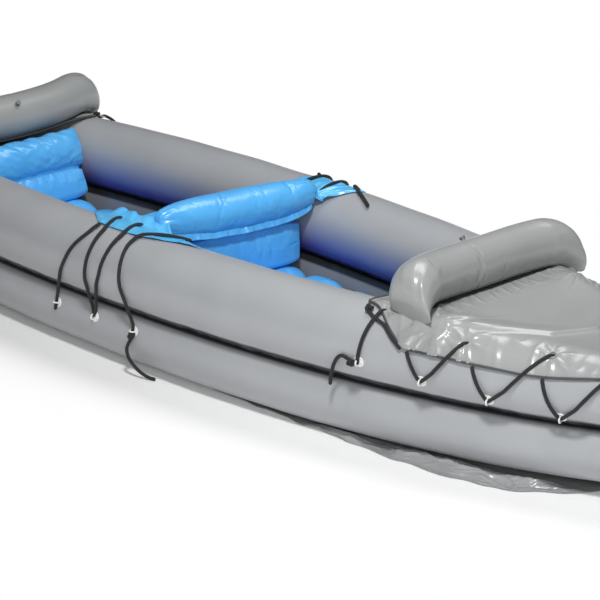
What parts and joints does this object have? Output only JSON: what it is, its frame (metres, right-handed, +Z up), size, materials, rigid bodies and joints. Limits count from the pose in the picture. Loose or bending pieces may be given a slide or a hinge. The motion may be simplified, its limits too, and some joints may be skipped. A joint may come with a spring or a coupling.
{
  "type": "inflatable tandem kayak",
  "caption": "Inflatable two-person kayak: stacked side tubes, laced grey decks with splash tubes, blue inflated seats lashed to the hull, screw valves and swinging carry handles.",
  "frame": {"origin": "on the ground, under the middle of the hull", "axes": "+X towards the bow, +Y to port, +Z up"},
  "size_m": [3.4964, 0.8182, 0.448],
  "materials": {
    "hull_film": "satin grey polyvinyl chloride film, welded seams",
    "deck_film": "thinner, glossier grey polyvinyl chloride film that puckers at the seams",
    "floor_film": "dark grey coated film",
    "seat_film": "bright blue polyvinyl chloride film, wrinkled near the seams",
    "cord": "black braided cord",
    "loop_plastic": "white moulded plastic",
    "fitting_plastic": "black moulded plastic",
    "handle_wire": "black coated steel rod"
  },
  "bodies": {
    "hull": {"starboard_upper_tube": "hull_film", "port_upper_tube": "hull_film", "starboard_lower_tube": "hull_film", "port_lower_tube": "hull_film", "bottom_skin": "floor_film", "inflatable_floor": "floor_film", "bow_deck": "deck_film", "stern_deck": "deck_film", "bow_splash_tube": "hull_film", "stern_splash_tube": "hull_film", "bow_hull_loops": "loop_plastic", "stern_hull_loops": "loop_plastic", "seat_tie_loops": "loop_plastic", "bow_lacing_starboard": "cord", "bow_lacing_port": "cord", "stern_lacing_starboard": "cord", "stern_lacing_port": "cord", "front_seat_cushion": "seat_film", "lacing_tail": "cord", "front_flap_starboard": "seat_film", "front_flap_port": "seat_film", "front_lashing_starboard": "cord", "front_lashing_port": "cord", "lashing_tail": "cord", "rear_seat_cushion": "seat_film", "starboard_valve_body": "fitting_plastic", "port_valve_body": "fitting_plastic", "floor_valve_body": "fitting_plastic", "splash_tube_valves": "fitting_plastic", "cushion_valves": "fitting_plastic", "bow_handle_base": "fitting_plastic", "stern_handle_base": "fitting_plastic"},
    "front_backrest": {"front_back_panel": "seat_film", "front_back_roll": "seat_film", "front_back_valve": "fitting_plastic"},
    "rear_backrest": {"rear_back_panel": "seat_film", "rear_back_roll": "seat_film", "rear_back_valve": "fitting_plastic"},
    "starboard_cap": {"starboard_valve_cap": "fitting_plastic"},
    "port_cap": {"port_valve_cap": "fitting_plastic"},
    "floor_cap": {"floor_valve_cap": "fitting_plastic"},
    "bow_handle": {"bow_handle_bail": "handle_wire", "bow_handle_grip": "fitting_plastic"},
    "stern_handle": {"stern_handle_bail": "handle_wire", "stern_handle_grip": "fitting_plastic"}
  },
  "joints": [
    {"name": "front_back_tilt", "type": "hinge", "parent": "hull", "child": "front_backrest", "pos_m": [0.18, 0, 0.17319], "axis": [0.1564, 0.9877, 0], "range_deg": [-8, 12], "stiffness_Nm_per_rad": 6},
    {"name": "rear_back_fold", "type": "hinge", "parent": "hull", "child": "rear_backrest", "pos_m": [-0.6, 0, 0.17319], "axis": [0, 1, 0], "range_deg": [0, 75]},
    {"name": "bow_handle_swing", "type": "hinge", "parent": "hull", "child": "bow_handle", "pos_m": [1.61, 0, 0.32493], "axis": [0, 1, 0], "range_deg": [0, 120]},
    {"name": "stern_handle_swing", "type": "hinge", "parent": "hull", "child": "stern_handle", "pos_m": [-1.61, 0, 0.32493], "axis": [0, -1, 0], "range_deg": [0, 120]},
    {"name": "starboard_cap_turn", "type": "hinge", "parent": "hull", "child": "starboard_cap", "pos_m": [-1.383, -0.19286, 0.218], "axis": [-0.2908, -0.9409, -0.1736], "range_deg": [0, 270]},
    {"name": "port_cap_turn", "type": "hinge", "parent": "hull", "child": "port_cap", "pos_m": [-1.383, 0.19286, 0.218], "axis": [-0.2908, 0.9409, -0.1736], "range_deg": [0, 270]},
    {"name": "floor_cap_turn", "type": "hinge", "parent": "hull", "child": "floor_cap", "pos_m": [-0.03, 0, 0.0824], "axis": [0, 0, 1], "range_deg": [0, 270]}
  ]
}
